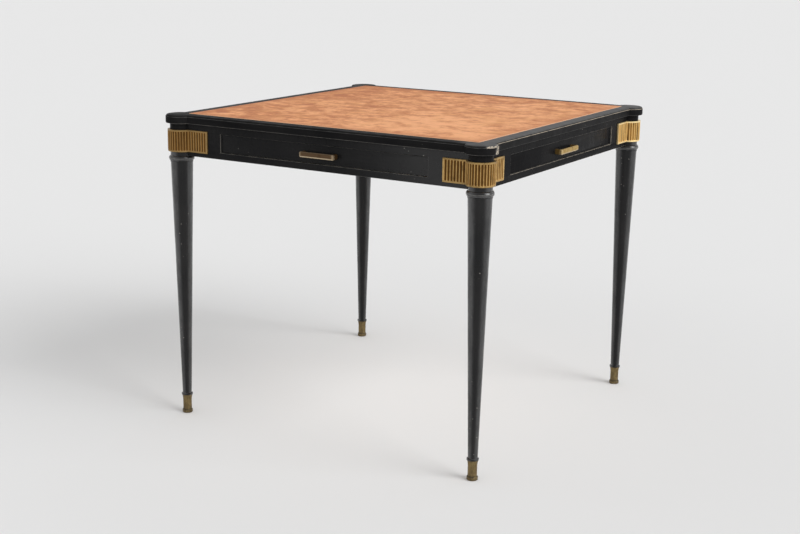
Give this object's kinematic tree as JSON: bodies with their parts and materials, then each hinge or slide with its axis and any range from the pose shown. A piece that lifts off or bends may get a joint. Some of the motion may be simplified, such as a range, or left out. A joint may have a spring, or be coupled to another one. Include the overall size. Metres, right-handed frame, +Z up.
{
  "type": "bridge table",
  "caption": "Square bridge table with round tapered legs, a leather top in a moulded border with round ears, fluted brass corner mounts and a shallow sliding drawer in each side of its apron.",
  "frame": {"origin": "middle of the table on the floor, under the centre of the top", "axes": "+Z up, -Y out of the front drawer, +X out of the right drawer"},
  "size_m": [0.872, 0.872, 0.7408],
  "materials": {
    "black_lacquer": "semi-gloss ebonised lacquer",
    "drawer_wood": "oiled",
    "carcass_wood": "bare",
    "tan_leather": "mottled, waxed",
    "gilt_brass": "gilt, worn",
    "shoe_brass": "aged",
    "steel": "plain"
  },
  "bodies": {
    "table": {"apron_stiles_back": "black_lacquer", "apron_stiles_front": "black_lacquer", "apron_stiles_left": "black_lacquer", "apron_stiles_right": "black_lacquer", "border_back": "black_lacquer", "border_front": "black_lacquer", "border_left": "black_lacquer", "border_right": "black_lacquer", "corner_braces": "carcass_wood", "dividers_crosswise": "carcass_wood", "dividers_lengthwise": "carcass_wood", "drawer_runners": "carcass_wood", "leather_panel": "tan_leather", "leg_back_left": "black_lacquer", "leg_back_right": "black_lacquer", "leg_front_left": "black_lacquer", "leg_front_right": "black_lacquer", "lower_rail_back": "black_lacquer", "lower_rail_front": "black_lacquer", "lower_rail_left": "black_lacquer", "lower_rail_right": "black_lacquer", "mount_back_left": "gilt_brass", "mount_back_right": "gilt_brass", "mount_front_left": "gilt_brass", "mount_front_right": "gilt_brass", "mount_nuts": "steel", "shoe_back_left": "shoe_brass", "shoe_back_right": "shoe_brass", "shoe_front_left": "shoe_brass", "shoe_front_right": "shoe_brass", "top_panel": "carcass_wood", "top_screws": "steel", "upper_rail_back": "black_lacquer", "upper_rail_front": "black_lacquer", "upper_rail_left": "black_lacquer", "upper_rail_right": "black_lacquer"},
    "front_drawer": {"front_drawer_back": "drawer_wood", "front_drawer_bottom": "drawer_wood", "front_drawer_front": "black_lacquer", "front_drawer_left_side": "drawer_wood", "front_drawer_pull": "gilt_brass", "front_drawer_right_side": "drawer_wood"},
    "right_drawer": {"right_drawer_back": "drawer_wood", "right_drawer_bottom": "drawer_wood", "right_drawer_front": "black_lacquer", "right_drawer_left_side": "drawer_wood", "right_drawer_pull": "gilt_brass", "right_drawer_right_side": "drawer_wood"},
    "back_drawer": {"back_drawer_back": "drawer_wood", "back_drawer_bottom": "drawer_wood", "back_drawer_front": "black_lacquer", "back_drawer_left_side": "drawer_wood", "back_drawer_pull": "gilt_brass", "back_drawer_right_side": "drawer_wood"},
    "left_drawer": {"left_drawer_back": "drawer_wood", "left_drawer_bottom": "drawer_wood", "left_drawer_front": "black_lacquer", "left_drawer_left_side": "drawer_wood", "left_drawer_pull": "gilt_brass", "left_drawer_right_side": "drawer_wood"}
  },
  "joints": [
    {"name": "front_drawer_slide", "type": "slide", "parent": "table", "child": "front_drawer", "axis": [0, -1, 0], "range_m": [0, 0.08]},
    {"name": "right_drawer_slide", "type": "slide", "parent": "table", "child": "right_drawer", "axis": [1, 0, 0], "range_m": [0, 0.08]},
    {"name": "back_drawer_slide", "type": "slide", "parent": "table", "child": "back_drawer", "axis": [0, 1, 0], "range_m": [0, 0.08]},
    {"name": "left_drawer_slide", "type": "slide", "parent": "table", "child": "left_drawer", "axis": [-1, 0, 0], "range_m": [0, 0.08]}
  ]
}
